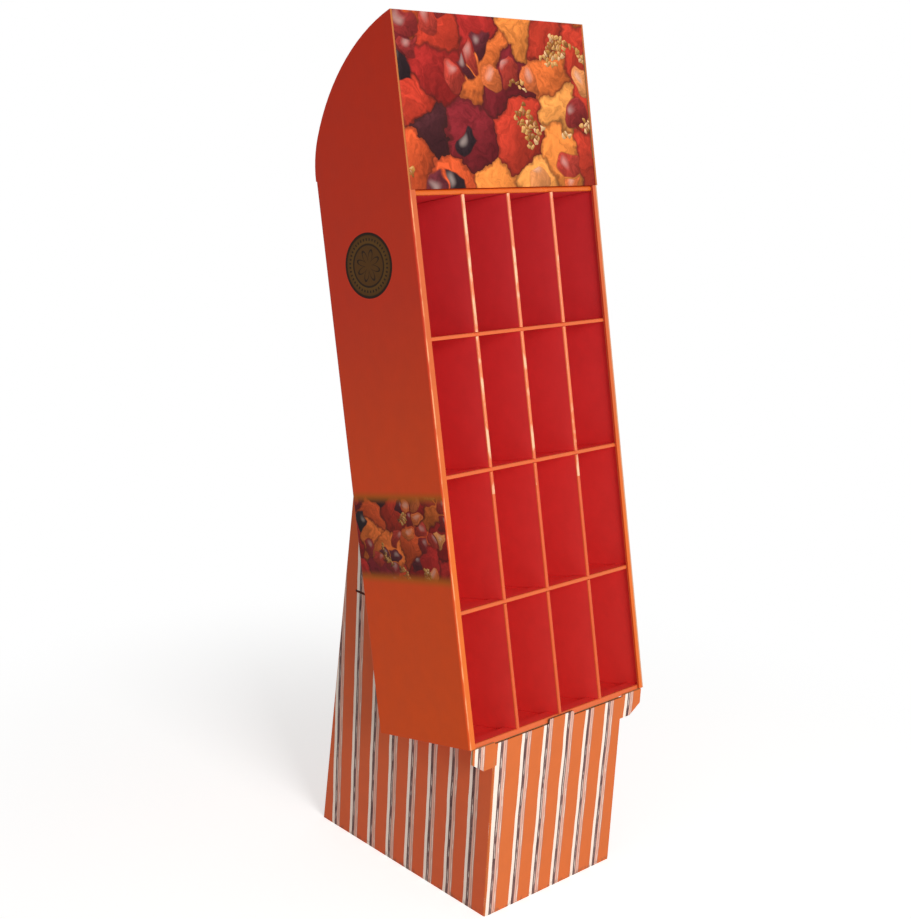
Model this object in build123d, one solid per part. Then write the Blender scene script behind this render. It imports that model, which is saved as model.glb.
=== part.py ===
from build123d import *
import os
from math import atan2, cos, degrees, radians, sin, sqrt, tan

# Floor-standing cardboard display: a pocket cabinet that leans back in a narrower striped base.
# Millimetres, +Z up. The origin is the middle of the base's footprint on the floor,
# +X is to the right of someone who faces the pockets, and +Y runs from the front to the back.

# Cabinet, in its own upright frame before it is leaned back
cabinet_width = 460.0
cabinet_depth = 240.0
lean_angle = 13.0
seat_height = 346.0
wall_board = 4.0
front_strip_width = 13.0

# Pockets
column_count = 4
row_count = 4
row_pitch = 232.0
top_row_extra = 6.0
tray_board = 3.0
tray_setback = 5.0
lip_height = 6.5
bottom_lip_height = 9.5
bottom_tray_drop = 3.0
lip_length = 30.0
top_bar_height = 9.0
top_shelf_upstand = 28.0

# Dividers, each folded from one sheet
divider_width = 7.0
column_pitch = 108.75
divider_setback = 1.5
divider_foot = 25.0
divider_tab_length = 40.0
divider_tab_start = 95.0

# Header and hood
header_height = 286.0
hood_rise = 49.0
shoulder_radius = 153.0
shoulder_sweep = 28.0
header_flange = 40.0
header_flange_top_margin = 50.0
hood_lap = 34.0

# Base
cabinet_overhang = 61.0
base_depth = 467.0
base_board = 4.0
front_gap = 5.0
rest_height = 800.0
rest_top_width = 44.0
insert_flange = 45.0
ear_inset = 8.0
ear_top_gap = 1.6
ear_outer_drop = 25.0
ear_inner_drop = 44.0
ear_slope_run = 28.0
tongue_width = 66.0
tongue_height = 9.0
tongue_corner = 3.0
brace_height = 512.0
brace_flange = 35.0
brace_slot_length = 33.0
brace_slot_inset = 30.0

# Folds: outer radius as a share of the board's thickness
fold_share = 0.98

# Clearances
glue_gap = 0.3
slot_gap = 0.5

# Worked out from the sizes above
top_bar_bottom = row_count * row_pitch + top_row_extra
stack_height = top_bar_bottom + top_bar_height
header_top = stack_height + header_height
hood_start = stack_height + hood_rise
half_cabinet = cabinet_width / 2
half_inside = half_cabinet - wall_board - glue_gap
strip_edge = half_cabinet - front_strip_width
inside_back = cabinet_depth - wall_board - glue_gap
half_base = half_cabinet - cabinet_overhang
half_base_inside = half_base - base_board - glue_gap
front_panel_height = seat_height - front_gap
lean = radians(lean_angle)


def folded_board(points, board):
    """Section of one folded board: the points run along one face, the board lies on their right."""
    path = [Vector(*point) for point in points]
    runs = [(end - start).normalized() for start, end in zip(path, path[1:])]
    rights = [Vector(run.Y, -run.X) for run in runs]
    far = [path[0] + rights[0] * board]
    round_corners = []
    for corner, before, after, run_in, run_out in zip(path[1:], rights, rights[1:], runs, runs[1:]):
        miter = corner + (before + after) * (board / (1 + before.dot(after)))
        far.append(miter)
        turns_left = run_in.cross(run_out).Z > 0
        round_corners.append(miter if turns_left else corner)
    far.append(path[-1] + rights[-1] * board)
    section = make_face(Polyline(*path, *reversed(far), close=True))
    vertices = [section.vertices().sort_by_distance(corner)[0] for corner in round_corners]
    return fillet(vertices, radius=fold_share * board)


def across(section, left, right):
    """Solid of a (Y, Z) section between two X positions."""
    return extrude(Plane.YZ.offset(left) * section, amount=right - left, dir=(1, 0, 0))


def upward(section, low, high):
    """Solid of an (X, Y) section between two heights."""
    return extrude(Plane.XY.offset(low) * section, amount=high - low, dir=(0, 0, 1))


def backward(section, front, back):
    """Solid of an (X, Z) section between two Y positions."""
    return extrude(Plane.XZ.offset(-front) * section, amount=back - front, dir=(0, 1, 0))


def block(low, high):
    """Box between two corners."""
    size = Vector(*high) - Vector(*low)
    return Pos(*low) * Box(size.X, size.Y, size.Z, align=(Align.MIN, Align.MIN, Align.MIN))


def polygon(points):
    """Face of a closed outline."""
    return make_face(Polyline(*points, close=True))


def save(solid, node):
    """Write one sub-part."""
    export_step(solid, f"parts/{node}.step")


# Leaning frame of the cabinet

def lean_back(solid):
    """Set an upright cabinet piece on the seat, its front foot above the base's front face."""
    return Pos(0, -base_depth / 2, seat_height) * Rot(-lean_angle, 0, 0) * solid


def seat_point(depth, height):
    """(Y, Z) of a cabinet point, with Y counted from the base's front face."""
    return depth * cos(lean) + height * sin(lean), seat_height - depth * sin(lean) + height * cos(lean)


def rest_line_y(height, depth):
    """Y, at a height above the floor, of the leaning line at a depth of the cabinet frame."""
    along = (height - seat_height + depth * sin(lean)) / cos(lean)
    return seat_point(depth, along)[0]


# Hood: the side panels end in a tight shoulder and a flatter crown, tangent to each other

shoulder_centre = Vector(cabinet_depth - shoulder_radius, hood_start)
shoulder_normal = Vector(cos(radians(shoulder_sweep)), sin(radians(shoulder_sweep)))
shoulder_end = shoulder_centre + shoulder_normal * shoulder_radius
crown_chord = shoulder_end - Vector(0, header_top)
crown_radius = crown_chord.dot(crown_chord) / (2 * crown_chord.dot(shoulder_normal))
crown_centre = shoulder_end - shoulder_normal * crown_radius


def under_hood(inset):
    """Side view, in (depth, height), of what lies under the hood's curve moved in by inset."""
    crown_top = crown_centre.Y + sqrt((crown_radius - inset) ** 2 - crown_centre.X ** 2)
    crown_angle = degrees(atan2(crown_top - crown_centre.Y, -crown_centre.X))
    sweep = crown_angle - shoulder_sweep
    crown = CenterArc(crown_centre, crown_radius - inset, shoulder_sweep, sweep)
    shoulder = CenterArc(shoulder_centre, shoulder_radius - inset, 0, shoulder_sweep)
    back = cabinet_depth - inset
    legs = Polyline((back, hood_start), (back, stack_height), (0, stack_height), (0, crown_top))
    return make_face([crown, shoulder, *legs.edges()])


def hood_sheet(outer_inset, board, front, back):
    """(Depth, height) section of a sheet that follows the hood between two depths."""
    sheet = under_hood(outer_inset) - under_hood(outer_inset + board)
    window = polygon([(front, hood_start), (back, hood_start), (back, header_top), (front, header_top)])
    return sheet & window


def cabinet_shell():
    """One wrap: back, both sides with tops cut to the hood's curve, and the front strips folded in."""
    strips = [(strip_edge, 0), (half_cabinet, 0), (half_cabinet, cabinet_depth),
              (-half_cabinet, cabinet_depth), (-half_cabinet, 0), (-strip_edge, 0)]
    lower = upward(folded_board(strips[::-1], wall_board), 0, stack_height)
    upper = upward(folded_board(strips[-2:0:-1], wall_board), stack_height, hood_start)
    shell = lower + upper
    for left, right in ((-half_cabinet, wall_board - half_cabinet), (half_cabinet - wall_board, half_cabinet)):
        shell += across(under_hood(0), left, right) - block((left, 0, 0), (right, cabinet_depth, hood_start))
    return shell


def hood_cover():
    """Curved sheet between the side panels, from behind the header down inside the back panel."""
    inset = wall_board + glue_gap
    foot = top_bar_bottom + top_shelf_upstand + glue_gap
    cover = across(hood_sheet(inset, wall_board, inset, cabinet_depth), -half_inside, half_inside)
    cover += block((-half_inside, inside_back - wall_board, foot), (half_inside, inside_back, hood_start))
    return cover


def header_panel():
    """Printed face with flanges folded back at its sides and foot, and at its top onto the hood cover."""
    foot = stack_height + glue_gap
    side_top = header_top - header_flange_top_margin
    plan = [(half_inside, header_flange), (half_inside, 0), (-half_inside, 0), (-half_inside, header_flange)]
    sides = upward(folded_board(plan, wall_board), foot, side_top)
    section = folded_board([(header_flange, foot), (0, foot), (0, header_top)], wall_board)
    face = across(section, wall_board - half_inside, half_inside - wall_board)
    top_face = block((-half_inside, 0, side_top), (half_inside, wall_board, header_top))
    lap = across(hood_sheet(0, wall_board, 0, hood_lap), -half_inside, half_inside)
    return (face + sides + top_face + lap) & across(under_hood(0), -half_inside, half_inside)


def rolled_shelf(level, wall_top, lip, board):
    """(Depth, height) section of a shelf: rear upstand, floor, and a front edge rolled over itself."""
    front = tray_setback
    return folded_board([(inside_back, wall_top), (inside_back, level), (front, level),
                         (front, level + lip), (front + lip_length, level + lip)], board)


def divider_positions():
    """X of each divider, even about the middle."""
    return [(index - column_count / 2) * column_pitch for index in range(1, column_count)]


def row_level(row):
    """Height of a row's floor above the cabinet's foot. Row 1 is the lowest and hangs a little below it."""
    return -bottom_tray_drop if row == 1 else (row - 1) * row_pitch


def row_top(row):
    """Height at which a row's walls end, just under what lies on them."""
    return (top_bar_bottom if row == row_count else row_level(row + 1)) - glue_gap


def row_lip(row):
    """Height of a row's rolled front edge."""
    return bottom_lip_height if row == 1 else lip_height


def pocket_tray(row):
    """One row of pockets: floor with a rolled lip, back, two side walls and the dividers' slots."""
    level = row_level(row)
    top = row_top(row)
    floor = across(rolled_shelf(level, top, row_lip(row), tray_board),
                   tray_board - half_inside, half_inside - tray_board)
    trough = [(half_inside, top), (half_inside, level), (-half_inside, level), (-half_inside, top)]
    tray = floor + backward(folded_board(trough, tray_board), tray_setback, inside_back)
    slot_front = divider_tab_start - slot_gap
    slot_back = divider_tab_start + divider_tab_length + slot_gap
    for x in divider_positions():
        slot_left = x - divider_width / 2 - slot_gap
        slot_right = x - divider_width / 2 + tray_board + slot_gap
        tray -= block((slot_left, slot_front, level), (slot_right, slot_back, level + tray_board))
    return tray


def divider(row, x):
    """Folded divider: round front nose, two leaves, feet glued to the back, and a tab in the floor."""
    level = row_level(row)
    floor = level + tray_board
    half = divider_width / 2
    foot_front = inside_back - 2 * tray_board - glue_gap
    plan = [(divider_foot + half, foot_front), (half, foot_front), (half, divider_setback),
            (-half, divider_setback), (-half, foot_front), (-half - divider_foot, foot_front)]
    sheet = upward(folded_board(plan, tray_board), floor, row_top(row) - glue_gap)
    notch_back = tray_setback + lip_length + glue_gap
    notch_top = level + row_lip(row) + glue_gap
    sheet -= block((-half, 0, floor), (half, notch_back, notch_top))
    tab_back = divider_tab_start + divider_tab_length
    sheet += block((-half, divider_tab_start, level + slot_gap), (tray_board - half, tab_back, floor))
    return Pos(x, 0, 0) * sheet


def top_shelf():
    """Shelf over the top row: its rolled front edge is the bar under the header."""
    section = rolled_shelf(top_bar_bottom, top_bar_bottom + top_shelf_upstand, top_bar_height, wall_board)
    return across(section, -half_inside, half_inside)


# Base

rest_y = rest_line_y(rest_height, cabinet_depth)
back_top_y = rest_y + rest_top_width
back_slope = (base_depth - back_top_y) / rest_height
back_board = base_board * sqrt(1 + back_slope ** 2)
seat_corner = seat_point(cabinet_depth, -bottom_tray_drop)


def back_face_y(height, inset):
    """Y of the base's back at a height, moved forward by a horizontal inset."""
    return base_depth - back_slope * height - inset


def seat_z(y):
    """Height of the leaning seat, which carries the bottom tray, at a Y counted from the base's front face."""
    return seat_height - y * tan(lean) - bottom_tray_drop / cos(lean)


brace_slot_back = back_face_y(brace_height, back_board) - brace_slot_inset
brace_slot_front = brace_slot_back - brace_slot_length
ear_length = half_cabinet - ear_inset - half_base
ear_top = seat_height - ear_top_gap
ear_foot = front_panel_height - ear_inner_drop


def ear_outline(start, top):
    """Ear that carries on from the front panel, or the hole that it leaves in the side panel."""
    slope_top = front_panel_height - ear_outer_drop
    return polygon([(start, top), (start + ear_length, top), (start + ear_length, slope_top),
                    (start + ear_length - ear_slope_run, ear_foot), (start, ear_foot)])


def fold_cutter(direction, length):
    """What a rounded vertical fold takes off a square corner at the origin, towards +X and +Y."""
    corner = polygon([(0, 0), (base_board, 0), (base_board, base_board), (0, base_board)])
    corner -= Pos(base_board, base_board) * Circle(fold_share * base_board)
    corner &= polygon([(0, 0), (base_board, 0), (0, base_board)])
    return extrude(corner, amount=length, dir=direction)


def base_sleeve():
    """Striped outer sleeve: front with ears and tongue, two sides cut for the seat, leaning back."""
    side = polygon([(0, 0), (0, seat_z(0)), seat_corner, (rest_y, rest_height),
                    (back_top_y, rest_height), (base_depth, 0)])
    side -= ear_outline(0, seat_height)
    slot = polygon([(brace_slot_front, brace_height - base_board - slot_gap),
                    (brace_slot_back, brace_height - base_board - slot_gap),
                    (brace_slot_back, brace_height + slot_gap),
                    (brace_slot_front, brace_height + slot_gap)])
    side -= slot
    sleeve = across(side, -half_base, base_board - half_base)
    sleeve += across(side, half_base - base_board, half_base)
    half_tongue = tongue_width / 2
    tongue_top = front_panel_height + tongue_height
    front = polygon([(-half_base, 0), (-half_base, front_panel_height),
                     (-half_tongue, front_panel_height), (-half_tongue, tongue_top - tongue_corner),
                     (tongue_corner - half_tongue, tongue_top), (half_tongue - tongue_corner, tongue_top),
                     (half_tongue, tongue_top - tongue_corner), (half_tongue, front_panel_height),
                     (half_base, front_panel_height), (half_base, 0)])
    ear = ear_outline(half_base, ear_top)
    sleeve += backward(front + ear + mirror(ear, Plane.YZ), 0, base_board)
    back = polygon([(base_depth, 0), (back_top_y, rest_height),
                    (back_top_y - back_board, rest_height), (base_depth - back_board, 0)])
    sleeve += across(back, -half_base, half_base)
    front_fold = fold_cutter((0, 0, 1), ear_foot)
    back_fold = fold_cutter((0, back_slope, 1), rest_height * sqrt(1 + back_slope ** 2))
    sleeve -= Pos(-half_base, 0, 0) * front_fold
    sleeve -= Pos(half_base, 0, 0) * mirror(front_fold, Plane.YZ)
    sleeve -= Pos(-half_base, base_depth, 0) * mirror(back_fold, Plane.XZ)
    sleeve -= Pos(half_base, base_depth, 0) * mirror(mirror(back_fold, Plane.XZ), Plane.YZ)
    return sleeve


def base_insert():
    """Folded support inside the sleeve: front flange, seat, leaning rest, top and back flange."""
    front = base_board + glue_gap
    back_inset = back_board + glue_gap
    flange_foot = rest_height - insert_flange
    section = folded_board([(front, seat_z(front) - insert_flange), (front, seat_z(front)),
                            seat_corner, (rest_y, rest_height),
                            (back_face_y(rest_height, back_inset), rest_height),
                            (back_face_y(flange_foot, back_inset), flange_foot)], base_board)
    return across(section, -half_base_inside, half_base_inside)


def cross_brace():
    """Folded brace behind the rest. A tab at each end seats in the sleeve's slot."""
    back_inset = back_board + glue_gap
    rest_depth = cabinet_depth + base_board + glue_gap
    flange_foot = brace_height - brace_flange
    section = folded_board([(rest_line_y(flange_foot, rest_depth), flange_foot),
                            (rest_line_y(brace_height, rest_depth), brace_height),
                            (back_face_y(brace_height, back_inset), brace_height),
                            (back_face_y(flange_foot, back_inset), flange_foot)], base_board)
    brace = across(section, -half_base_inside, half_base_inside)
    brace += block((-half_base, brace_slot_front + slot_gap, brace_height - base_board),
                   (half_base, brace_slot_back - slot_gap, brace_height))
    return brace


def on_floor(solid):
    """Move a base piece so that its footprint is centred on the origin."""
    return Pos(0, -base_depth / 2, 0) * solid


os.makedirs("parts", exist_ok=True)
save(on_floor(base_sleeve()), "base_sleeve")
save(on_floor(base_insert()), "base_insert")
save(on_floor(cross_brace()), "cross_brace")
save(lean_back(cabinet_shell()), "cabinet_shell")
save(lean_back(hood_cover()), "hood_cover")
save(lean_back(header_panel()), "header_panel")
save(lean_back(top_shelf()), "top_shelf")
for row in range(1, row_count + 1):
    save(lean_back(pocket_tray(row)), f"pocket_tray_{row}")
    for column, x in enumerate(divider_positions(), start=1):
        save(lean_back(divider(row, x)), f"divider_{row}_{column}")
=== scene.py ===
"""Looks of a cardboard display stand: printed boards, raw fluted edges, studio and camera."""
import logging
import math
from dataclasses import dataclass
from enum import Enum

import bpy
from mathutils import Matrix, Vector


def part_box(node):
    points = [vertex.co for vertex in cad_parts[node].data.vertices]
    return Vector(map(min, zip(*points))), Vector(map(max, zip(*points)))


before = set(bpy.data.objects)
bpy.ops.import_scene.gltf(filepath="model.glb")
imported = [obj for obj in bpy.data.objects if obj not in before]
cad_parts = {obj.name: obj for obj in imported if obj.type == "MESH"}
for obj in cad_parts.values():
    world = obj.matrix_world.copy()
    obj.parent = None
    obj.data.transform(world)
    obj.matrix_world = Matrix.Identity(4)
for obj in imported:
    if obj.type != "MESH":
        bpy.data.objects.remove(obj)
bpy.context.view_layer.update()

LOG = logging.getLogger("display_stand")
MM = 0.001
# Past every face of the stand, in metres
FAR = 9.0
ANYWHERE = (-FAR, FAR)
# Middle of a noise's values, and of a board's thickness
MIDDLE = 0.5
WHITE = "FFFFFF"
# Directions across the flutes: round the walls where they stand upright, or along the face
ROUND_THE_WALLS = (1, 1, 0)
ALONG_THE_FACE = (1, 0, 0)
# Most values of a noise lie between such limits: the narrower they are, the harder its patches end
CLOUD_SPREAD = (0.3, 0.7)
VEIN_SPREAD = (0.32, 0.68)
STREAK_SPREAD = (0.38, 0.62)


class Axis(Enum):
    """Axis that runs along a printed face."""

    ACROSS = "across"
    DEPTH = "depth"


class Flute(Enum):
    """Distance between the flutes of a corrugated board, in metres: B flute and C flute."""

    FINE = 6.4 * MM
    COARSE = 7.9 * MM


def linear(code: str) -> tuple[float, float, float, float]:
    """Turn an sRGB hex colour to linear.

    Args:
        code: Six hex digits.

    Returns:
        Linear red, green and blue, with an alpha of 1.
    """
    parts = [int(code[i:i + 2], 16) / 255 for i in (0, 2, 4)]
    # The sRGB standard's own curve, which is straight near black
    lit = [part / 12.92 if part <= 0.04045 else ((part + 0.055) / 1.055) ** 2.4 for part in parts]
    return (*lit, 1.0)


def add_node(tree: bpy.types.NodeTree, kind: str, inputs: dict | None = None, stops: tuple = (),
             **settings: object) -> bpy.types.Node:
    """Add a node with its settings and links.

    Args:
        tree: Node tree of the material.
        kind: Blender's name of the node type after ShaderNode.
        inputs: Constants, outputs, or nodes whose first output is meant, by socket name or number.
        stops: Places and hex colours of a colour ramp.
        **settings: Properties of the node.

    Returns:
        The new node.
    """
    node = tree.nodes.new("ShaderNode" + kind)
    for name, value in settings.items():
        setattr(node, name, value)
    for key, value in (inputs or {}).items():
        if isinstance(value, bpy.types.Node):
            value = next(output for output in value.outputs if output.enabled)
        if isinstance(value, bpy.types.NodeSocket):
            tree.links.new(value, node.inputs[key])
        else:
            node.inputs[key].default_value = value
    if stops:
        ramp = node.color_ramp
        while len(ramp.elements) < len(stops):
            ramp.elements.new(1.0)
        for element, (position, code) in zip(ramp.elements, stops):
            element.position = position
            element.color = linear(code)
    return node


@dataclass(frozen=True)
class CabinetFrame:
    """Upright frame of the leaning cabinet: across, depth behind its front, height along its front."""

    lean: float = math.radians(13.0)
    seat_height: float = 346 * MM
    half_width: float = 230 * MM
    depth: float = 240 * MM
    stack_height: float = 943 * MM
    header_top: float = 1229 * MM
    hood_start: float = 992 * MM

    def place(self) -> Matrix:
        """Matrix from the upright frame to the stand's frame."""
        foot = Vector((0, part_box("base_sleeve")[0].y, self.seat_height))
        return Matrix.Translation(foot) @ Matrix.Rotation(-self.lean, 4, "X")


CABINET = CabinetFrame()


class PrintJob:
    """Inks laid one over another on a board, with the board's own coordinates."""

    def __init__(self, name: str, leaning: bool) -> None:
        """Start a material.

        Args:
            name: Name of the material.
            leaning: Whether its places are in the cabinet's upright frame or in the stand's.
        """
        self.material = bpy.data.materials.new(name)
        self.material.use_nodes = True
        self.tree = self.material.node_tree
        self.tree.nodes.clear()
        self.place = add_node(self.tree, "TexCoord").outputs["Object"]
        if leaning:
            back = CABINET.place().inverted()
            upright = add_node(self.tree, "Mapping", {"Vector": self.place, "Location": back.translation,
                                                      "Rotation": (CABINET.lean, 0, 0)})
            self.place = upright.outputs[0]
        parts = add_node(self.tree, "SeparateXYZ", {0: self.place})
        self.across, self.depth, self.height = parts.outputs
        self.aside = add_node(self.tree, "Math", {0: self.across}, operation="ABSOLUTE")
        self.ink: object = linear(WHITE)

    def lay(self, colour: object, *zones: "Zone", share: object = 1.0) -> None:
        """Lay an ink over what is there.

        Args:
            colour: Hex colour, or output with a colour.
            *zones: Where it goes; everywhere if none is given.
            share: How much of it goes there.
        """
        cover = share
        if zones:
            cover = zones[0].mask(self)
            for zone in zones[1:]:
                cover = add_node(self.tree, "Math", {0: cover, 1: zone.mask(self)}, operation="MAXIMUM")
            cover = add_node(self.tree, "Math", {0: cover, 1: share}, operation="MULTIPLY")
        over = linear(colour) if isinstance(colour, str) else colour
        self.ink = add_node(self.tree, "Mix", {0: cover, 6: self.ink, 7: over}, data_type="RGBA")


@dataclass(frozen=True)
class Streaks:
    """Upright streaks, used for uneven ink, worn print and painted highlights: their size, and the values
    between them and in them.
    """

    width: float
    length: float
    low: float
    high: float

    def draw(self, job: PrintJob) -> bpy.types.Node:
        """Draw the streaks.

        Args:
            job: The print.

        Returns:
            Node with the value.
        """
        scale = (1 / self.width, 1 / self.width, 1 / self.length)
        squeezed = add_node(job.tree, "Mapping", {"Vector": job.place, "Scale": scale})
        noise = add_node(job.tree, "TexNoise", {"Vector": squeezed, "Scale": 1.0, "Detail": 3.0})
        return add_node(job.tree, "MapRange", {"Value": noise, "From Min": STREAK_SPREAD[0],
                                               "From Max": STREAK_SPREAD[1], "To Min": self.low,
                                               "To Max": self.high}, interpolation_type="SMOOTHSTEP")


@dataclass(frozen=True)
class Zone:
    """Part of a board between limits of distance to the middle, depth and height."""

    aside: tuple[float, float] = ANYWHERE
    depth: tuple[float, float] = ANYWHERE
    height: tuple[float, float] = ANYWHERE

    def mask(self, job: PrintJob) -> object:
        """Mask that is 1 inside the zone.

        Args:
            job: The print.

        Returns:
            Node with 0 or 1, or plain 1 without limits.
        """
        cover: object = 1.0
        readings = ((job.aside, self.aside), (job.depth, self.depth), (job.height, self.height))
        for reading, (low, high) in readings:
            if (low, high) == ANYWHERE:
                continue
            inside = add_node(job.tree, "Math", {0: reading, 1: (low + high) / 2, 2: (high - low) / 2},
                              operation="COMPARE")
            cover = add_node(job.tree, "Math", {0: inside, 1: cover}, operation="MULTIPLY")
        return cover


@dataclass(frozen=True)
class Varnish:
    """Water-based varnish over offset print on corrugated board.

    It gives the eye a soft sheen over slightly cloudy ink, and faint ribs where the liner sinks between the
    flutes.
    """

    ior: float = 1.5
    roughness: float = 0.45
    specular: float = 0.08
    gloss_spread: float = 0.05
    burnish: float = 0.2
    mottle: float = 0.03
    cloud_size: float = 30 * MM
    rib_height: float = 0.05 * MM
    rib_strength: float = 0.35
    # The liner's fibres are about 0.05 mm across and are drawn eight times coarser, so that they show
    fibre_size: float = 0.4 * MM
    fibre_share: float = 0.25
    flute: Flute = Flute.FINE

    def finish(self, job: PrintJob, ribs: tuple[float, float, float] = ROUND_THE_WALLS,
               burnished: Zone | None = None) -> bpy.types.Material:
        """Wire the laid inks to the material's surface.

        Args:
            job: The print.
            ribs: Direction across the flutes.
            burnished: Creased edges, which shine more.

        Returns:
            The finished material.
        """
        tree = job.tree
        clouds = add_node(tree, "TexNoise", {"Vector": job.place, "Scale": 1 / self.cloud_size,
                                             "Detail": 4.0})
        low, high = CLOUD_SPREAD
        tone = add_node(tree, "MapRange", {"Value": clouds, "From Min": low, "From Max": high,
                                           "To Min": 1 - self.mottle, "To Max": 1 + self.mottle})
        toned = add_node(tree, "VectorMath", {0: job.ink, "Scale": tone}, operation="SCALE")
        across = add_node(tree, "VectorMath", {0: job.place, 1: ribs}, operation="DOT_PRODUCT")
        wave = add_node(tree, "Math", {0: across, 1: 2 * math.pi / self.flute.value}, operation="MULTIPLY")
        rib = add_node(tree, "Math", {0: wave}, operation="SINE")
        fibre = add_node(tree, "TexNoise", {"Vector": job.place, "Scale": 1 / self.fibre_size,
                                            "Detail": 2.0})
        relief = add_node(tree, "Math", {0: fibre, 1: self.fibre_share, 2: rib}, operation="MULTIPLY_ADD")
        bump = add_node(tree, "Bump", {"Height": relief, "Distance": self.rib_height,
                                       "Strength": self.rib_strength})
        gloss = add_node(tree, "MapRange", {"Value": clouds, "From Min": low, "From Max": high,
                                            "To Min": self.roughness - self.gloss_spread,
                                            "To Max": self.roughness + self.gloss_spread})
        if burnished:
            gloss = add_node(tree, "Math", {0: burnished.mask(job), 1: -self.burnish, 2: gloss},
                             operation="MULTIPLY_ADD")
        shader = add_node(tree, "BsdfPrincipled", {"Base Color": toned, "IOR": self.ior, "Roughness": gloss,
                                                   "Specular IOR Level": self.specular, "Normal": bump})
        add_node(tree, "OutputMaterial", {"Surface": shader})
        return job.material


@dataclass(frozen=True)
class RawBoard:
    """Unprinted corrugated board, glued up from brown kraft paper.

    It gives the eye plain brown liners, and on a cut edge the wave between them over hollows painted dark
    as shade. The wave's swing, half its paper's thickness and half the core's are shares of the board's
    thickness.
    """

    thickness: float = 4 * MM
    liner: str = "B98A5C"
    fluting: str = "A07648"
    hollow_shade: str = "4A3020"
    swing: float = 0.3
    half_paper: float = 0.13
    half_core: float = 0.36
    flute: Flute = Flute.COARSE

    def ink(self, job: PrintJob, inward: bpy.types.Node,
            ribs: tuple[float, float, float] = ROUND_THE_WALLS) -> bpy.types.Node:
        """Colour of the board.

        Args:
            job: The print that it shows beside.
            inward: Node with the distance behind the outer face.
            ribs: Direction across the flutes.

        Returns:
            Node with the colour.
        """
        tree = job.tree
        level = add_node(tree, "Math", {0: inward, 1: self.thickness}, operation="DIVIDE")
        across = add_node(tree, "VectorMath", {0: job.place, 1: ribs}, operation="DOT_PRODUCT")
        wave = add_node(tree, "Math", {0: across, 1: 2 * math.pi / self.flute.value}, operation="MULTIPLY")
        turn = add_node(tree, "Math", {0: wave}, operation="SINE")
        crest = add_node(tree, "Math", {0: turn, 1: self.swing, 2: MIDDLE}, operation="MULTIPLY_ADD")
        on_wave = add_node(tree, "Math", {0: level, 1: crest, 2: self.half_paper}, operation="COMPARE")
        # The hollows between the waves are painted dark: painted shade of the open flutes
        fluted = add_node(tree, "Mix", {0: on_wave, 6: linear(self.hollow_shade), 7: linear(self.fluting)},
                          data_type="RGBA")
        between = add_node(tree, "Math", {0: level, 1: MIDDLE, 2: self.half_core}, operation="COMPARE")
        return add_node(tree, "Mix", {0: between, 6: linear(self.liner), 7: fluted}, data_type="RGBA")


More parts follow.
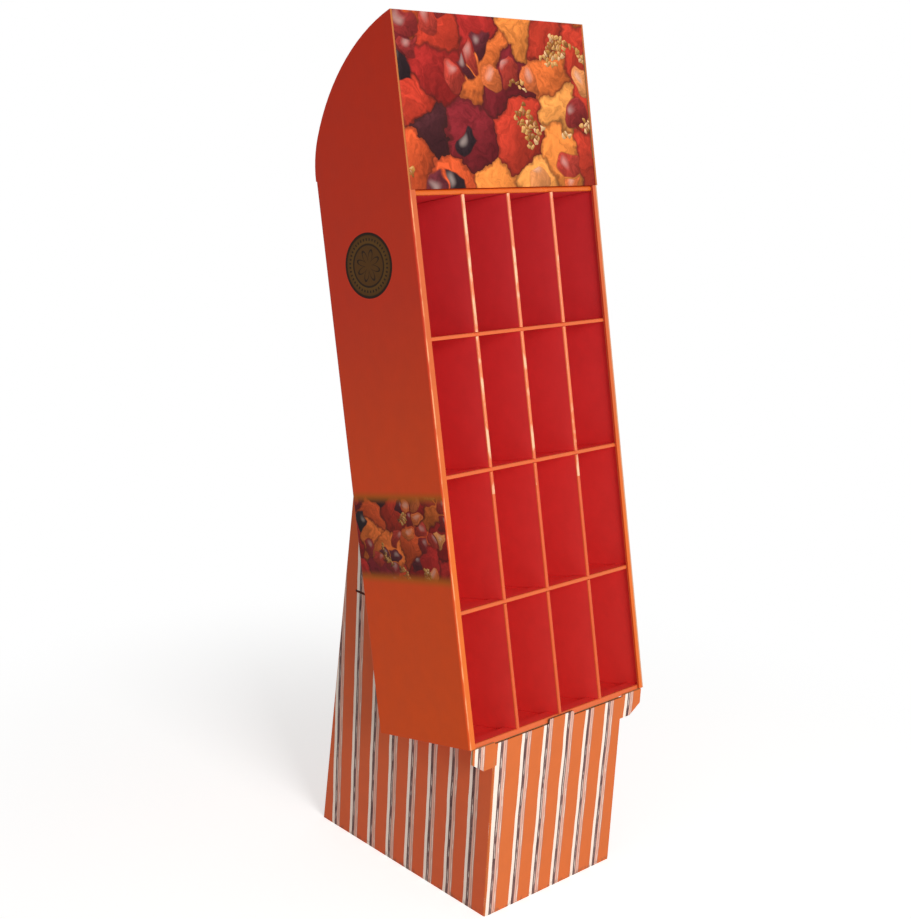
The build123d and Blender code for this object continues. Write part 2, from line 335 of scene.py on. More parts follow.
@dataclass(frozen=True)
class Scatter:
    """One size of printed shapes side by side, such as petals, stones or seeds, lit from the upper left.

    Lengths other than the size are shares of it, and tones are factors on the ink.
    """

    size: float
    inks: tuple[str, ...]
    # Outline: how far and how often it bends, how frayed it is, and where it ends
    sway: float = 0.5
    bends: float = 0.9
    ragged: float = 0.0
    reach: float = 0.66
    soft_rim: float = 0.1
    seam: float = 0.08
    outline: float = 1.0
    uneven: float = 0.9
    # Choice of ink: by chance, and drifting from the early inks to the late ones
    luck: float = 0.7
    drift: tuple[float, float] = (-0.05, 0.32)
    # Painted light and shade
    light: tuple[float, float] = (-0.6, 0.8)
    slopes: tuple[float, float] = (-0.6, 0.5)
    slope_tones: tuple[float, float] = (0.55, 1.3)
    veins: float = 3.5
    vein_tones: tuple[float, float] = (0.66, 1.3)
    gleam: float = 0.3
    gleam_place: tuple[float, float] = (-0.15, 0.2)
    gleam_radius: float = 0.3
    shadow: str = "3A1A16"
    gloss: str = "F6DCD0"

    def draw(self, job: PrintJob, flat: bpy.types.Node,
             ends: tuple[float, float]) -> tuple[bpy.types.Node, bpy.types.NodeSocket, bpy.types.Node]:
        """Draw the shapes.

        Args:
            job: The print.
            flat: Node with flat coordinates.
            ends: Where along the face the early inks and the late inks are commonest.

        Returns:
            Node with the colour, output with the middle of each place's shape, and node with its cover.
        """
        tree, size = job.tree, self.size
        noise = add_node(tree, "TexNoise", {"Vector": flat, "Scale": self.bends / size,
                                            "Detail": self.ragged, "Roughness": 0.6})
        centred = add_node(tree, "VectorMath", {0: noise.outputs["Color"], 1: (MIDDLE, MIDDLE, MIDDLE)},
                           operation="SUBTRACT")
        push = 2 * self.sway * size
        plane = add_node(tree, "VectorMath", {0: centred, 1: (push, push, 0), 2: flat},
                         operation="MULTIPLY_ADD")
        spread = {"Vector": plane, "Scale": 1 / size, "Randomness": self.uneven}
        cells = add_node(tree, "TexVoronoi", spread, voronoi_dimensions="2D")
        seams = add_node(tree, "TexVoronoi", spread, voronoi_dimensions="2D", feature="DISTANCE_TO_EDGE")
        chance = add_node(tree, "SeparateColor", {0: cells.outputs["Color"]})
        middle = add_node(tree, "SeparateXYZ", {0: cells.outputs["Position"]})
        drift = add_node(tree, "MapRange", {"Value": middle, "From Min": ends[0], "From Max": ends[1],
                                            "To Min": self.drift[0], "To Max": self.drift[1]})
        drawn = add_node(tree, "Math", {0: chance, 1: self.luck, 2: drift}, operation="MULTIPLY_ADD")
        steps = tuple((index / len(self.inks), code) for index, code in enumerate(self.inks))
        pick = add_node(tree, "ValToRGB", {0: drawn}, stops=steps)
        pick.color_ramp.interpolation = "CONSTANT"
        away = add_node(tree, "VectorMath", {0: plane, 1: cells.outputs["Position"]}, operation="SUBTRACT")
        light = (self.light[0] / size, self.light[1] / size, 0)
        slope = add_node(tree, "VectorMath", {0: away, 1: light}, operation="DOT_PRODUCT")
        lit = add_node(tree, "MapRange", {"Value": slope, "From Min": self.slopes[0],
                                          "From Max": self.slopes[1], "To Min": self.slope_tones[0],
                                          "To Max": self.slope_tones[1]}, interpolation_type="SMOOTHSTEP")
        veins = add_node(tree, "TexNoise", {"Vector": plane, "Scale": self.veins / size, "Detail": 7.0,
                                            "Roughness": 0.62, "Distortion": 1.4})
        veined = add_node(tree, "MapRange", {"Value": veins, "From Min": VEIN_SPREAD[0],
                                             "From Max": VEIN_SPREAD[1], "To Min": self.vein_tones[0],
                                             "To Max": self.vein_tones[1]})
        tone = add_node(tree, "Math", {0: lit, 1: veined}, operation="MULTIPLY")
        body = add_node(tree, "VectorMath", {0: pick, "Scale": tone}, operation="SCALE")
        edge = add_node(tree, "MapRange", {"Value": seams, "From Max": self.seam},
                        interpolation_type="SMOOTHSTEP")
        round_off = add_node(tree, "MapRange", {"Value": cells, "From Min": self.reach - self.soft_rim,
                                                "From Max": self.reach, "To Min": 1.0, "To Max": 0.0},
                             interpolation_type="SMOOTHSTEP")
        cover = add_node(tree, "Math", {0: edge, 1: round_off}, operation="MINIMUM")
        held = add_node(tree, "MapRange", {"Value": cover, "To Min": 1 - self.outline})
        set_in = add_node(tree, "Mix", {0: held, 6: linear(self.shadow), 7: body}, data_type="RGBA")
        glint = (self.gleam_place[0] * size, self.gleam_place[1] * size, 0)
        spot = add_node(tree, "VectorMath", {0: away, 1: glint}, operation="DISTANCE")
        shine = add_node(tree, "MapRange", {"Value": spot, "From Max": self.gleam_radius * size,
                                            "To Min": self.gleam, "To Max": 0.0},
                         interpolation_type="SMOOTHSTEP")
        colour = add_node(tree, "Mix", {0: shine, 6: set_in, 7: linear(self.gloss)}, data_type="RGBA")
        return colour, cells.outputs["Position"], cover


@dataclass(frozen=True)
class ScatterArt:
    """Generic offset print of torn petals, with heaps of polished stones and of seeds, in warm colours.

    The colours deepen towards the dark end. A limit says how rare heaps are, and a pattern which of the
    noise's layouts they follow.
    """

    scale: float = 1.0
    dark_end: float = -0.2
    bright_end: float = 0.2
    petal: float = 92 * MM
    petal_inks: tuple[str, ...] = ("4A2226", "7C2228", "A82A26", "BE3A28", "D2542C", "DE6E34", "E2823C",
                                   "E8944A")
    heaps: float = 1.1
    stone: float = 46 * MM
    stone_inks: tuple[str, ...] = ("2E1E22", "5E242A", "8C2C2A", "AC3A2E", "CC6636", "D88850")
    stone_limit: float = 0.555
    stone_pattern: float = 4.1
    seed: float = 9 * MM
    seed_inks: tuple[str, ...] = ("74482A", "9A6430", "BC8440", "D09A58", "DCB07C")
    seed_limit: float = 0.65
    seed_pattern: float = 5.3

    def ink(self, job: PrintJob, sideways: Axis) -> bpy.types.Node:
        """Colour of the print.

        Args:
            job: The print.
            sideways: Axis that runs along the printed face.

        Returns:
            Node with the colour.
        """
        tree = job.tree
        along = getattr(job, sideways.value)
        flat = add_node(tree, "CombineXYZ", {0: along, 1: job.height})
        ends = (self.dark_end, self.bright_end)
        petals = Scatter(self.petal * self.scale, self.petal_inks, sway=0.6, ragged=4.0, reach=1.1,
                         gleam=0.0, seam=0.09, outline=0.6)
        stones = Scatter(self.stone * self.scale, self.stone_inks, ragged=1.0)
        seeds = Scatter(self.seed * self.scale, self.seed_inks, gleam=0.2)
        colour = petals.draw(job, flat, ends)[0]
        patch_scale = self.heaps / (self.petal * self.scale)
        for layer, limit, pattern in ((stones, self.stone_limit, self.stone_pattern),
                                      (seeds, self.seed_limit, self.seed_pattern)):
            over, middle, cover = layer.draw(job, flat, ends)
            # Whole shapes lie on the larger ones, where a slow noise read at their middles is high
            patch = add_node(tree, "TexNoise", {"Vector": middle, "W": pattern, "Scale": patch_scale,
                                                "Detail": 1.0}, noise_dimensions="4D")
            heaped = add_node(tree, "Math", {0: patch, 1: limit}, operation="GREATER_THAN")
            shown = add_node(tree, "Math", {0: heaped, 1: cover}, operation="MULTIPLY")
            colour = add_node(tree, "Mix", {0: shown, 6: colour, 7: over}, data_type="RGBA")
        return colour


def dress(node: str, material: bpy.types.Material) -> None:
    """Give a node of the frame its finish.

    Args:
        node: Name of the node.
        material: Finish for all its faces.
    """
    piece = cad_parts[node]
    piece.data.materials.clear()
    piece.data.materials.append(material)
    LOG.info("dressed %s in %s", node, material.name)


@dataclass(frozen=True)
class Seal:
    """Plain oval emblem printed on the side panels: rings, dots and a rosette in dark brown inks.

    Places between its middle and its rim are shares of the radius.
    """

    depth: float = 124 * MM
    height: float = 834 * MM
    half_length: float = 61.5 * MM
    half_height: float = 55.5 * MM
    rings: tuple[tuple[float, str], ...] = ((0.0, "5A3A16"), (0.6, "5A3A16"), (0.62, "2A1A0A"),
                                            (0.66, "2A1A0A"), (0.68, "66461C"), (0.9, "5A3A16"),
                                            (0.93, "2A1A0A"), (1.0, "22130A"))
    line_ink: str = "2A1A0A"
    petals: float = 8.0
    petal_root: float = 0.14
    petal_length: float = 0.34
    half_line: float = 0.035
    dots: float = 40.0
    dot_place: float = 0.79
    half_dot: float = 0.04
    dot_gap: float = 0.2

    def print_on(self, job: PrintJob, wall: Zone) -> None:
        """Lay the emblem on a print.

        Args:
            job: The print.
            wall: Faces that carry it.
        """
        tree = job.tree
        flat = add_node(tree, "CombineXYZ", {0: job.depth, 1: job.height})
        centred = add_node(tree, "VectorMath", {0: flat, 1: (self.depth, self.height, 0)},
                           operation="SUBTRACT")
        squeeze = (1 / self.half_length, 1 / self.half_height, 0)
        oval = add_node(tree, "VectorMath", {0: centred, 1: squeeze}, operation="MULTIPLY")
        share = add_node(tree, "VectorMath", {0: oval}, operation="LENGTH")
        parts = add_node(tree, "SeparateXYZ", {0: oval})
        angle = add_node(tree, "Math", {0: parts.outputs[1], 1: parts.outputs[0]}, operation="ARCTAN2")
        face = add_node(tree, "ValToRGB", {0: share}, stops=self.rings)
        half_turns = add_node(tree, "Math", {0: angle, 1: self.petals / 2}, operation="MULTIPLY")
        swing = add_node(tree, "Math", {0: half_turns}, operation="SINE")
        bulge = add_node(tree, "Math", {0: swing}, operation="ABSOLUTE")
        rim = add_node(tree, "Math", {0: bulge, 1: self.petal_length, 2: self.petal_root},
                       operation="MULTIPLY_ADD")
        petal = add_node(tree, "Math", {0: share, 1: rim, 2: self.half_line}, operation="COMPARE")
        turns = add_node(tree, "Math", {0: angle, 1: self.dots}, operation="MULTIPLY")
        beat = add_node(tree, "Math", {0: turns}, operation="SINE")
        dotted = add_node(tree, "Math", {0: beat, 1: self.dot_gap}, operation="GREATER_THAN")
        ring = add_node(tree, "Math", {0: share, 1: self.dot_place, 2: self.half_dot}, operation="COMPARE")
        dots = add_node(tree, "Math", {0: dotted, 1: ring}, operation="MULTIPLY")
        lines = add_node(tree, "Math", {0: petal, 1: dots}, operation="MAXIMUM")
        drawn = add_node(tree, "Mix", {0: lines, 6: face, 7: linear(self.line_ink)}, data_type="RGBA")
        disc = add_node(tree, "Math", {0: share, 1: 1.0}, operation="LESS_THAN")
        job.lay(drawn.outputs[2], wall, share=disc)


@dataclass
class Cabinet:
    """Leaning cabinet: printed shell, hood, header, top shelf, trays and dividers.

    Inks that change up the cabinet are given with shares of its height or of the stack's.
    """

    # How deep an ink is taken to reach, and how deep a face still counts as the outer one
    skin: float = 0.4 * MM
    board: float = 3.6 * MM
    side_inks: tuple[tuple[float, str], ...] = ((0.0, "E15420"), (0.4, "DE4D26"), (0.63, "D13E28"),
                                                (1.0, "CA331D"))
    strip_inks: tuple[tuple[float, str], ...] = ((0.35, "EA7434"), (0.6, "DC6C3C"), (1.0, "D86A42"))
    header_edge_ink: str = "C4733F"
    pocket_inks: tuple[tuple[float, str], ...] = ((0.0, "F64943"), (0.5, "F64544"), (1.0, "E84148"))
    lip_inks: tuple[tuple[float, str], ...] = ((0.0, "E66C3A"), (0.85, "E66C3A"), (0.97, "E46C28"))
    # The nose edges are lighter in the upper rows: painted highlight
    nose_inks_with_highlight: tuple[tuple[float, str], ...] = ((0.0, "E06030"), (0.45, "E46436"), (0.6, "F4824E"),
                                                (1.0, "F88A60"))
    tray_edge: float = 9.0 * MM
    divider_edge: float = 5.0 * MM
    band_low: float = 288 * MM
    band_high: float = 440 * MM
    band_fade: float = 9 * MM
    band_shade: float = 0.8
    band_haze: str = "B0601C"
    band_art: ScatterArt = ScatterArt(scale=0.6, dark_end=0.25, bright_end=0.0)
    header_art: ScatterArt = ScatterArt()
    # Pale streaks on the front folds: partly worn print and partly painted highlight on the rounded folds
    crease: tuple[float, float] = (226.5 * MM, 229.6 * MM)
    crease_depth: float = 0.9 * MM
    crease_wear_and_highlight_ink: str = "F8A674"
    crease_wear_and_highlight: Streaks = Streaks(7 * MM, 36 * MM, 0.15, 0.95)
    right_crease: float = 224.5 * MM
    right_crease_wear_and_highlight_ink: str = "E0A880"
    right_crease_wear_and_highlight: Streaks = Streaks(7 * MM, 50 * MM, 0.55, 1.0)
    # Pale streaks on the nose edges of the upper rows: painted highlight
    nose_glints: Streaks = Streaks(30 * MM, 60 * MM, -0.7, 0.7)
    nose_glint_depth: float = 3 * MM
    nose_glint_start: float = 0.45
    nose_glint_ink: str = "FFDDB0"
    varnish: Varnish = Varnish(flute=Flute.COARSE)
    pocket_varnish: Varnish = Varnish(specular=0.25)
    raw: RawBoard = RawBoard()

    def build(self) -> None:
        """Dress every piece of the cabinet."""
        dress("cabinet_shell", self.shell_print())
        dress("header_panel", self.header_print())
        # The hood is printed like the shell: an even brick red with a soft sheen along its curve
        hood = PrintJob("varnished_hood_print", True)
        self.lay_side_ink(hood)
        dress("hood_cover", self.varnish.finish(hood, ALONG_THE_FACE))
        pocket = self.pocket_print("varnished_pocket_print", self.tray_edge, self.lip_inks)
        divider = self.pocket_print("varnished_divider_print", self.divider_edge, self.nose_inks_with_highlight,
                                    self.nose_glints)
        dress("top_shelf", pocket)
        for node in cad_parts:
            if node.startswith("pocket_tray"):
                dress(node, pocket)
            if node.startswith("divider"):
                dress(node, divider)

    def lay_side_ink(self, job: PrintJob) -> None:
        """Print that runs from orange at the foot to brick red at the head.

        Args:
            job: The print.
        """
        share = add_node(job.tree, "Math", {0: job.height, 1: CABINET.header_top}, operation="DIVIDE")
        job.lay(add_node(job.tree, "ValToRGB", {0: share}, stops=self.side_inks).outputs[0])

    def shell_print(self) -> bpy.types.Material:
        """Printed shell: plain sides with a picture band and an emblem, bright front strips, raw edges.

        Returns:
            The material.
        """
        # Varnished offset print on C-flute board gives the eye even ink that deepens upwards, pale folds
        # that are partly stretched print and partly painted highlight, and brown fluted edges where the
        # board is cut
        job = PrintJob("varnished_shell_print", True)
        tree, skin, wall = job.tree, self.skin, CABINET.half_width
        self.lay_side_ink(job)
        sides = Zone(aside=(wall - skin, FAR))
        art = self.band_art.ink(job, Axis.DEPTH)
        shaded = add_node(tree, "VectorMath", {0: art, "Scale": self.band_shade}, operation="SCALE")
        for colour, inset in ((self.band_haze, 0.0), (shaded.outputs[0], self.band_fade)):
            low, high = self.band_low + inset, self.band_high - inset
            fade_in = add_node(tree, "MapRange", {"Value": job.height, "From Min": low - self.band_fade,
                                                  "From Max": low + self.band_fade},
                               interpolation_type="SMOOTHSTEP")
            fade_out = add_node(tree, "MapRange", {"Value": job.height, "From Min": high - self.band_fade,
                                                   "From Max": high + self.band_fade, "To Min": 1.0,
                                                   "To Max": 0.0}, interpolation_type="SMOOTHSTEP")
            band = add_node(tree, "Math", {0: fade_in, 1: fade_out}, operation="MULTIPLY")
            job.lay(colour, sides, share=band)
        Seal().print_on(job, sides)
        front = (-FAR, skin)
        below_header = (-FAR, CABINET.stack_height + skin)
        rise = add_node(tree, "Math", {0: job.height, 1: CABINET.stack_height}, operation="DIVIDE")
        job.lay(add_node(tree, "ValToRGB", {0: rise}, stops=self.strip_inks).outputs[0],
                Zone(depth=front, height=below_header))
        # The folds get pale runs a few centimetres long: partly the pale liner where the print is worn
        # through, partly painted highlight
        fold = (-FAR, self.crease_depth)
        pale_marks = self.crease_wear_and_highlight.draw(job)
        job.lay(self.crease_wear_and_highlight_ink, Zone(aside=self.crease, depth=fold, height=below_header), share=pale_marks)
        # The right fold gets wider pale runs than the left one: partly worn print, partly painted highlight
        right = add_node(tree, "Math", {0: job.across, 1: self.right_crease}, operation="GREATER_THAN")
        bare = add_node(tree, "Math", {0: right, 1: self.right_crease_wear_and_highlight.draw(job)}, operation="MULTIPLY")
        job.lay(self.right_crease_wear_and_highlight_ink, Zone(depth=fold, height=below_header), share=bare)
        hood_edges = Zone(aside=(-FAR, wall - skin), height=(CABINET.hood_start - skin, FAR))
        foot_edges = Zone(aside=(-FAR, wall - skin), height=(-FAR, skin), depth=(skin, FAR))
        lining = Zone(aside=(-FAR, wall - self.board), depth=(self.board, CABINET.depth - self.board))
        to_side = add_node(tree, "Math", {0: wall, 1: job.aside}, operation="SUBTRACT")
        to_back = add_node(tree, "Math", {0: CABINET.depth, 1: job.depth}, operation="SUBTRACT")
        inward = add_node(tree, "Math", {0: to_side, 1: to_back}, operation="MINIMUM")
        job.lay(self.raw.ink(job, inward), hood_edges, foot_edges, lining)
        job.lay(self.header_edge_ink, Zone(aside=(-FAR, wall - skin), depth=front,
                                           height=(CABINET.stack_height + skin, FAR)))
        return self.varnish.finish(job, burnished=Zone(depth=front))

    def header_print(self) -> bpy.types.Material:
        """Header board with the picture on its face.

        Returns:
            The material.
        """
        # Varnished four-colour print gives the eye rich, painted colours under a soft sheen
        job = PrintJob("varnished_header_print", True)
        self.lay_side_ink(job)
        job.lay(self.header_art.ink(job, Axis.ACROSS), Zone(depth=(-FAR, self.board)))
        return self.varnish.finish(job, ALONG_THE_FACE)

    def pocket_print(self, name: str, edge_depth: float, edge_inks: tuple[tuple[float, str], ...],
                     glint_streaks: Streaks | None = None) -> bpy.types.Material:
        """Red board whose front edge is printed orange.

        Args:
            name: Name of the material.
            edge_depth: Depth behind the cabinet's front at which the orange ends.
            edge_inks: Shares of the stack's height and hex colours of the edge.
            glint_streaks: Painted highlight: pale streaks on the edges of the upper rows, where the lamp
                would glint.

        Returns:
            The material.
        """
        # B-flute board printed red gives the eye a deep, even red that shines a little more than the shell
        job = PrintJob(name, True)
        edge = Zone(depth=(-FAR, edge_depth))
        share = add_node(job.tree, "Math", {0: job.height, 1: CABINET.stack_height}, operation="DIVIDE")
        job.lay(add_node(job.tree, "ValToRGB", {0: share}, stops=self.pocket_inks).outputs[0])
        job.lay(add_node(job.tree, "ValToRGB", {0: share}, stops=edge_inks).outputs[0], edge)
        # The edges of the upper rows get pale streaks: painted highlight where the lamp glints on them
        if glint_streaks:
            start = self.nose_glint_start * CABINET.stack_height
            pale_marks = Zone(depth=(-FAR, self.nose_glint_depth), height=(start, FAR))
            job.lay(self.nose_glint_ink, pale_marks, share=glint_streaks.draw(job))
        return self.pocket_varnish.finish(job, ALONG_THE_FACE, edge)


@dataclass(frozen=True)
class Stripe:
    """One printed line of a stripe group, from its beginning to its end as shares of the pitch."""

    ink: str
    low: float
    high: float
    strokes: Streaks | None = None

    def lay_on(self, job: PrintJob, share: bpy.types.Node) -> None:
        """Lay the line on a print, in strokes drawn by hand if it has them.

        Args:
            job: The print.
            share: Node with the share of the pitch.
        """
        middle, reach = (self.low + self.high) / 2, (self.high - self.low) / 2
        cover = add_node(job.tree, "Math", {0: share, 1: middle, 2: reach}, operation="COMPARE")
        if self.strokes:
            cover = add_node(job.tree, "Math", {0: cover, 1: self.strokes.draw(job)}, operation="MULTIPLY",
                             use_clamp=True)
        job.lay(self.ink, share=cover)


@dataclass
class Base:
    """Striped base sleeve with the plain board insert and brace inside it."""

    half_width: float = 169 * MM
    depth: float = 467 * MM
    # How far the back leans forward for each metre of height
    back_slope: float = 0.0898
    orange: str = "DC723B"
    shaded_side_orange: str = "DE663C"
    cream: str = "FFEFE0"
    stripes: tuple[Stripe, ...] = (
        Stripe("FFEFE0", 0.033, 0.168), Stripe("7A5A57", 0.168, 0.295), Stripe("E9B4A0", 0.295, 0.466),
        Stripe("A87C70", 0.375, 0.392), Stripe("A87C70", 0.448, 0.466),
        Stripe("4A3234", 0.168, 0.295, Streaks(3 * MM, 30 * MM, -0.5, 0.7)),
        Stripe("FFEFE0", 0.225, 0.262, Streaks(5 * MM, 30 * MM, -0.5, 0.7)),
        Stripe("FFEFE0", 0.392, 0.43, Streaks(6 * MM, 30 * MM, -0.5, 0.7)))
    front_pitch: float = 55.5 * MM
    front_start: float = 12.4 * MM
    side_pitch: float = 54.25 * MM
    side_start: float = 0.5 * MM
    # Keeps the count of groups above zero; the white of each group is centred on a tenth of the pitch
    first_count: float = 20.1
    print_lean: float = 0.025
    print_level: float = 200 * MM
    waver: float = 1.6 * MM
    waver_length: float = 60 * MM
    # The group beside the left fold: how far it reaches, its own lean and place, and its wider white
    first_group: float = 55 * MM
    first_lean: float = 0.01
    first_shift: float = 1.6 * MM
    left_white: tuple[float, float] = (-166 * MM, -153 * MM)
    ear_foot: float = 299 * MM
    # How far inks reach round the folds, into the board and onto the ears
    corner: float = 3.2 * MM
    front_skin: float = 1.5 * MM
    print_depth: float = 1.2 * MM
    past_side: float = 0.2 * MM
    ear_start: float = 0.3 * MM
    raw_skin: float = 0.5 * MM
    fold_reach: float = 2.5 * MM
    fold_wear: Streaks = Streaks(6 * MM, 40 * MM, -0.5, 0.7)
    scuff_height: float = 12 * MM
    scuffs: Streaks = Streaks(9 * MM, 9 * MM, -0.5, 0.6)
    grime: str = "7A5A48"
    varnish: Varnish = Varnish(flute=Flute.COARSE)
    raw: RawBoard = RawBoard()
    kraft_inks: tuple[tuple[float, str], ...] = ((0.3, "A97F52"), (0.7, "C79B69"))
    speck: float = 2.5 * MM
    brace_end_shade: str = "5A3026"
    bare: Varnish = Varnish(roughness=0.8, specular=0.1)

    def build(self) -> None:
        """Dress every piece of the base."""
        dress("base_sleeve", self.stripe_print())
        plain = self.plain_board()
        dress("base_insert", plain)
        dress("cross_brace", plain)

    def stripe_print(self) -> bpy.types.Material:
        """Stripes round the outside, raw cut edges and a plain inside.

        Returns:
            The material.
        """
        # Varnished stripe print on C-flute board gives the eye slightly wavering lines with darker strokes,
        # as if drawn by hand, and print that is rubbed off the folds and scuffed at the foot
        job = PrintJob("varnished_stripe_print", False)
        tree = job.tree
        behind = add_node(tree, "Math", {0: job.depth, 1: self.depth / 2}, operation="ADD")
        back = add_node(tree, "Math", {0: job.height, 1: -self.back_slope, 2: self.depth},
                        operation="MULTIPLY_ADD")
        to_back = add_node(tree, "Math", {0: back, 1: behind}, operation="SUBTRACT")
        to_side = add_node(tree, "Math", {0: self.half_width, 1: job.aside}, operation="SUBTRACT")
        to_ends = add_node(tree, "Math", {0: behind, 1: to_back}, operation="MINIMUM")
        past_corner = add_node(tree, "Math", {0: to_ends, 1: self.corner}, operation="SUBTRACT")
        nearer = add_node(tree, "Math", {0: to_side, 1: past_corner}, operation="LESS_THAN")
        on_box = add_node(tree, "Math", {0: to_side, 1: -self.past_side}, operation="GREATER_THAN")
        side = add_node(tree, "Math", {0: nearer, 1: on_box}, operation="MULTIPLY")
        noise = add_node(tree, "TexNoise", {"Vector": job.place, "Scale": 1 / self.waver_length,
                                            "Detail": 2.0})
        waver = add_node(tree, "MapRange", {"Value": noise, "From Min": CLOUD_SPREAD[0],
                                            "From Max": CLOUD_SPREAD[1], "To Min": -self.waver / 2,
                                            "To Max": self.waver / 2})
        start = self.half_width - self.front_start + self.print_level * self.print_lean
        run = add_node(tree, "Math", {0: job.height, 1: -self.print_lean, 2: start},
                       operation="MULTIPLY_ADD")
        # The first group beside the left fold leans less than the others
        risen = add_node(tree, "Math", {0: job.height, 1: self.first_lean, 2: self.first_shift},
                         operation="MULTIPLY_ADD")
        first = add_node(tree, "Math", {0: job.across, 1: self.first_group - self.half_width},
                         operation="LESS_THAN")
        first_run = add_node(tree, "Math", {0: risen, 1: first, 2: run}, operation="MULTIPLY_ADD")
        front_run = add_node(tree, "Math", {0: job.across, 1: first_run}, operation="ADD")
        turn = add_node(tree, "Math", {0: job.across}, operation="SIGN")
        side_run = add_node(tree, "Math", {0: turn, 1: behind, 2: -self.side_start},
                            operation="MULTIPLY_ADD")
        turns = []
        for along, pitch in ((front_run, self.front_pitch), (side_run, self.side_pitch)):
            wavering = add_node(tree, "Math", {0: along, 1: waver}, operation="ADD")
            turns.append(add_node(tree, "Math", {0: wavering, 1: 1 / pitch, 2: self.first_count},
                                  operation="MULTIPLY_ADD"))
        chosen = add_node(tree, "Mix", {0: side, 2: turns[0], 3: turns[1]})
        share = add_node(tree, "Math", {0: chosen}, operation="FRACT")
        job.lay(self.orange)
        # The side faces get a redder orange than the front: painted shade
        job.lay(self.shaded_side_orange, share=side)
        # The first group's white is wider than the others and reaches the left fold, below the ear
        front = Zone(depth=(-FAR, self.front_skin - self.depth / 2), height=(-FAR, self.ear_foot))
        left, right = self.left_white
        beside = add_node(tree, "Math", {0: job.across, 1: (left + right) / 2, 2: (right - left) / 2},
                          operation="COMPARE")
        job.lay(self.cream, front, share=beside)
        for stripe in self.stripes:
            stripe.lay_on(job, share)
        # Handling wears the print off the corner folds, and the floor scuffs the lowest centimetre
        fold = add_node(tree, "Math", {0: to_side, 1: to_ends}, operation="MAXIMUM")
        bend = add_node(tree, "MapRange", {"Value": fold, "From Max": self.fold_reach, "To Min": 1.0,
                                           "To Max": 0.0}, interpolation_type="SMOOTHSTEP")
        on_fold = add_node(tree, "Math", {0: bend, 1: on_box}, operation="MULTIPLY")
        rubbed = add_node(tree, "Math", {0: on_fold, 1: self.fold_wear.draw(job)}, operation="MULTIPLY",
                          use_clamp=True)
        low = add_node(tree, "MapRange", {"Value": job.height, "From Max": self.scuff_height, "To Min": 1.0,
                                          "To Max": 0.0}, interpolation_type="SMOOTHSTEP")
        scuffed = add_node(tree, "Math", {0: low, 1: self.scuffs.draw(job)}, operation="MULTIPLY",
                           use_clamp=True)
        job.lay(self.raw.liner, share=rubbed)
        job.lay(self.grime, share=scuffed)
        nearest = add_node(tree, "Math", {0: to_side, 1: to_ends}, operation="MINIMUM")
        inner = add_node(tree, "Math", {0: nearest, 1: self.print_depth}, operation="GREATER_THAN")
        raw = self.raw.ink(job, nearest)
        job.lay(raw, share=inner)
        job.lay(raw, Zone(aside=(self.half_width + self.ear_start, FAR),
                          depth=(self.raw_skin - self.depth / 2, FAR)))
        return self.varnish.finish(job)

    def plain_board(self) -> bpy.types.Material:
        """Unprinted brown board with specks of fibre; its ends at the sides are painted dark as shade.

        Returns:
            The material.
        """
        # Bare kraft liner gives the eye a matt, speckled brown with hardly any sheen. Its specks are about
        # half a millimetre long and are drawn five times coarser, so that they show
        job = PrintJob("kraft_board", False)
        speck = add_node(job.tree, "TexNoise", {"Vector": job.place, "Scale": 1 / self.speck,
                                                "Detail": 3.0})
        job.lay(add_node(job.tree, "ValToRGB", {0: speck}, stops=self.kraft_inks).outputs[0])
        # The brace's end in the sleeve's slit is painted dark brown: painted shade
        job.lay(self.brace_end_shade, Zone(aside=(self.half_width - self.raw_skin, FAR)))
        return self.bare.finish(job, ALONG_THE_FACE)


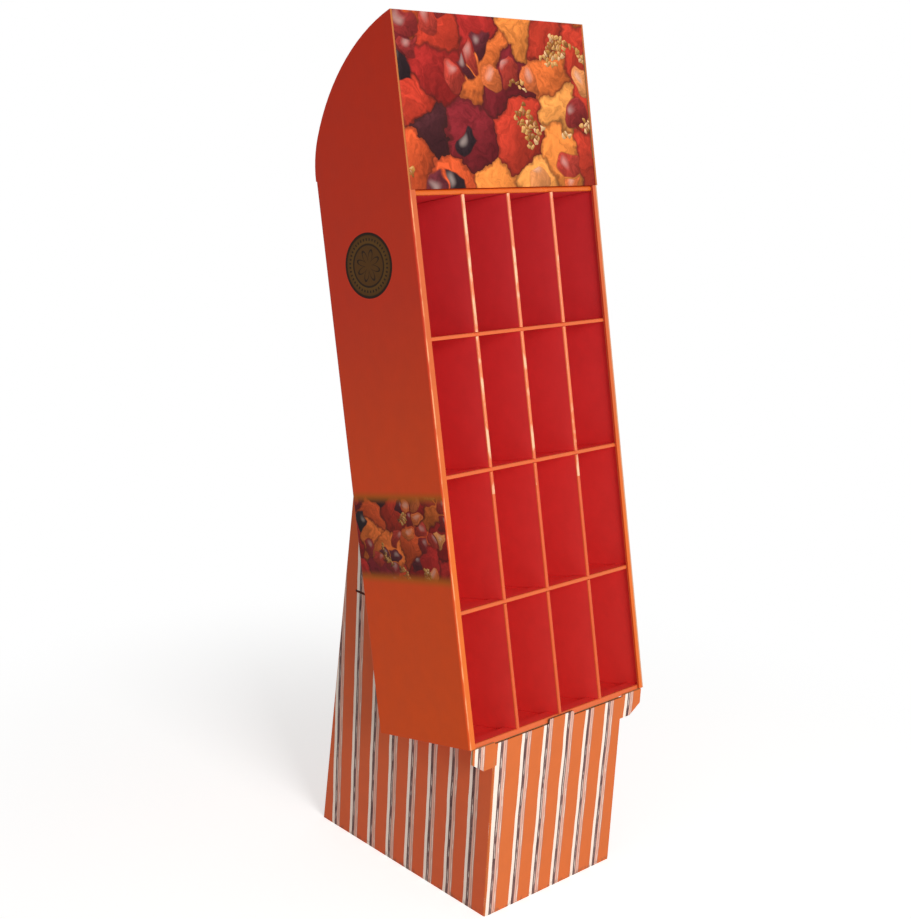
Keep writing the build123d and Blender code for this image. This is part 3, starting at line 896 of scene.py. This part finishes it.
@dataclass
class Studio:
    """Pale floor, soft lamp, white surroundings and the camera at the photograph's angle."""

    photo_width: float = 911.0
    photo_height: float = 919.0
    focal_pixels: float = 1452.8
    centre_pixel: tuple[float, float] = (408.06, 517.42)
    camera_place: tuple[float, float, float] = (-1.8373, -1.8205, 1.4364)
    aim: tuple[float, float, float] = (-0.18306, 0.0, 0.69503)
    roll: float = math.radians(2.4056)
    sensor: float = 36.0
    sight: float = 100.0
    key_place: tuple[float, float, float] = (-1.2, -4.3, 2.3)
    key_aim: tuple[float, float, float] = (0.0, 0.0, 0.75)
    key_size: float = 2.0
    key_power: float = 150.0
    surround: float = 0.34
    floor_paint: str = "F4F3F1"
    floor_size: float = 40.0
    floor_lift: float = 0.5
    floor_near: float = 0.5
    floor_far: float = 1.5

    def build(self) -> None:
        """Set up everything round the stand."""
        self.add_camera()
        self.add_floor()
        self.light_world()
        self.add_key_lamp()
        bpy.context.scene.view_settings.view_transform = "Standard"

    def add_camera(self) -> None:
        """Camera fitted to the photograph."""
        data = bpy.data.cameras.new("photo_camera")
        longest = max(self.photo_width, self.photo_height)
        data.sensor_width = self.sensor
        data.lens = self.focal_pixels / longest * self.sensor
        data.shift_x = (self.photo_width / 2 - self.centre_pixel[0]) / longest
        data.shift_y = (self.centre_pixel[1] - self.photo_height / 2) / longest
        data.clip_end = self.sight
        camera = bpy.data.objects.new("photo_camera", data)
        bpy.context.scene.collection.objects.link(camera)
        eye = Vector(self.camera_place)
        ahead = (Vector(self.aim) - eye).normalized()
        right = ahead.cross(Vector((0, 0, 1))).normalized()
        up = right.cross(ahead)
        turned_right = right * math.cos(self.roll) + up * math.sin(self.roll)
        turned_up = up * math.cos(self.roll) - right * math.sin(self.roll)
        axes = Matrix((turned_right, turned_up, -ahead)).transposed()
        camera.matrix_world = Matrix.Translation(eye) @ axes.to_4x4()
        bpy.context.scene.camera = camera

    def add_floor(self) -> None:
        """Wide pale floor that keeps the stand's shadow and fades into the white round it."""
        bpy.ops.object.select_all(action="DESELECT")
        bpy.ops.mesh.primitive_plane_add(size=self.floor_size, location=(0, 0, 0))
        floor = bpy.context.object
        floor.name = "studio_floor"
        # Matt emulsion paint gives the eye a pale ground with a soft shadow and no reflection
        job = PrintJob("pale_floor_paint", False)
        tree = job.tree
        matt = add_node(tree, "BsdfDiffuse", {"Color": linear(self.floor_paint)})
        glow = add_node(tree, "Emission", {"Color": linear(WHITE), "Strength": self.floor_lift})
        white = add_node(tree, "Emission", {"Color": linear(WHITE), "Strength": 1.0})
        lifted = add_node(tree, "AddShader", {0: matt, 1: glow})
        distance = add_node(tree, "VectorMath", {0: job.place}, operation="LENGTH")
        fade = add_node(tree, "MapRange", {"Value": distance, "From Min": self.floor_near,
                                           "From Max": self.floor_far}, interpolation_type="SMOOTHSTEP")
        shown = add_node(tree, "MixShader", {0: fade, 1: lifted, 2: white})
        whole = add_node(tree, "MixShader", {0: self.seen(tree), 1: matt, 2: shown})
        add_node(tree, "OutputMaterial", {"Surface": whole})
        floor.data.materials.append(job.material)

    def seen(self, tree: bpy.types.NodeTree) -> bpy.types.Node:
        """Mask of what the camera sees, straight, in a reflection or through a clear piece.

        Args:
            tree: Node tree of the floor or the world.

        Returns:
            Node with 0 or 1.
        """
        path = add_node(tree, "LightPath").outputs
        direct = add_node(tree, "Math", {0: path["Is Camera Ray"], 1: path["Is Glossy Ray"]},
                          operation="MAXIMUM")
        return add_node(tree, "Math", {0: direct, 1: path["Is Transmission Ray"]}, operation="MAXIMUM")

    def light_world(self) -> None:
        """Even light from all round, seen as white."""
        world = bpy.data.worlds.new("white_surround")
        bpy.context.scene.world = world
        world.use_nodes = True
        tree = world.node_tree
        tree.nodes.clear()
        level = add_node(tree, "MapRange", {"Value": self.seen(tree), "To Min": self.surround,
                                            "To Max": 1.0})
        light = add_node(tree, "Background", {"Color": linear(WHITE), "Strength": level})
        add_node(tree, "OutputWorld", {"Surface": light})

    def add_key_lamp(self) -> None:
        """Soft square lamp that faces the middle of the stand."""
        data = bpy.data.lights.new("key_lamp", "AREA")
        data.shape = "SQUARE"
        data.size = self.key_size
        data.energy = self.key_power
        lamp = bpy.data.objects.new("key_lamp", data)
        bpy.context.scene.collection.objects.link(lamp)
        lamp.location = self.key_place
        ray = Vector(self.key_aim) - Vector(self.key_place)
        lamp.rotation_euler = ray.to_track_quat("-Z", "Y").to_euler()


def main() -> None:
    """Dress the stand and set up the studio."""
    logging.basicConfig(level=logging.INFO, format="%(name)s: %(message)s")
    Cabinet().build()
    Base().build()
    Studio().build()


if __name__ == "__main__":
    main()
